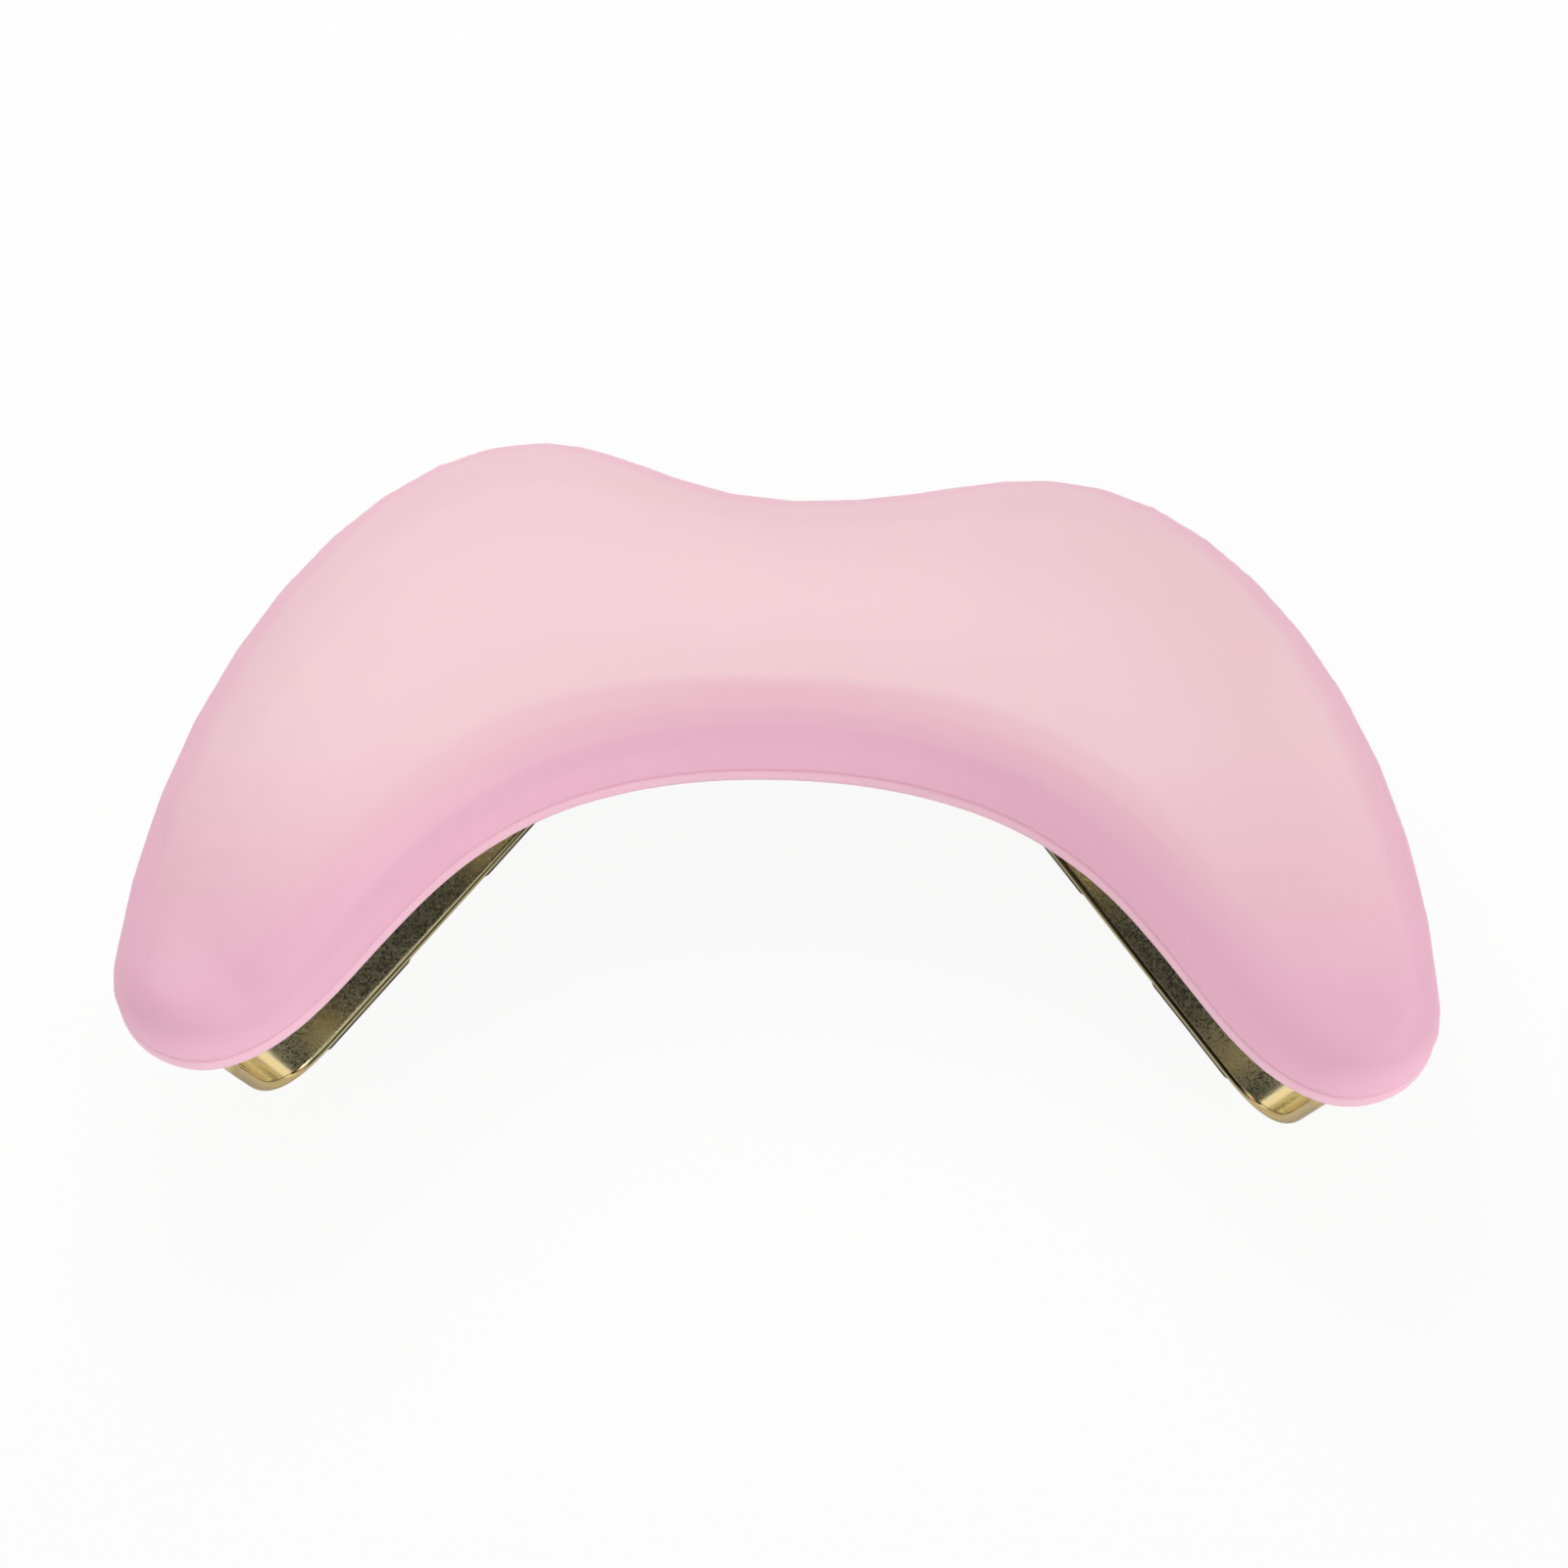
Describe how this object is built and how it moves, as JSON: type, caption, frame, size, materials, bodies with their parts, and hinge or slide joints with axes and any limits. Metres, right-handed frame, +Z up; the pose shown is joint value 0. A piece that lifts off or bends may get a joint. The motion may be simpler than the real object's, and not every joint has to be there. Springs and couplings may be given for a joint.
{
  "type": "manicure hand rest",
  "caption": "Crescent hand rest for manicures: a padded, leather covered board with a gently domed top, standing on two loops of bent metal strip that are open at the top.",
  "frame": {"origin": "middle of the bounding box in plan, at the floor under the rubber pads", "axes": "+X along the long side, +Y towards the back with its two humps, +Z up; the hand comes in from -Y"},
  "size_m": [0.37, 0.2088, 0.0926],
  "materials": {
    "cover": "smooth satin pink",
    "foam": "open sponge",
    "board": "raw fibreboard",
    "lining": "non-woven",
    "gold": "polished gold plating on steel",
    "zinc": "zinc plated",
    "pad": "matt"
  },
  "bodies": {
    "root": {"leather_cover": "cover", "foam_pad": "foam", "base_board": "board", "bottom_lining": "lining", "left_leg": "gold", "right_leg": "gold", "left_pad_front": "pad", "left_pad_rear": "pad", "right_pad_front": "pad", "right_pad_rear": "pad", "left_screw_1": "zinc", "left_screw_2": "zinc", "left_screw_3": "zinc", "left_screw_4": "zinc", "right_screw_1": "zinc", "right_screw_2": "zinc", "right_screw_3": "zinc", "right_screw_4": "zinc", "left_nut_1": "zinc", "left_nut_2": "zinc", "left_nut_3": "zinc", "left_nut_4": "zinc", "right_nut_1": "zinc", "right_nut_2": "zinc", "right_nut_3": "zinc", "right_nut_4": "zinc"}
  },
  "joints": []
}
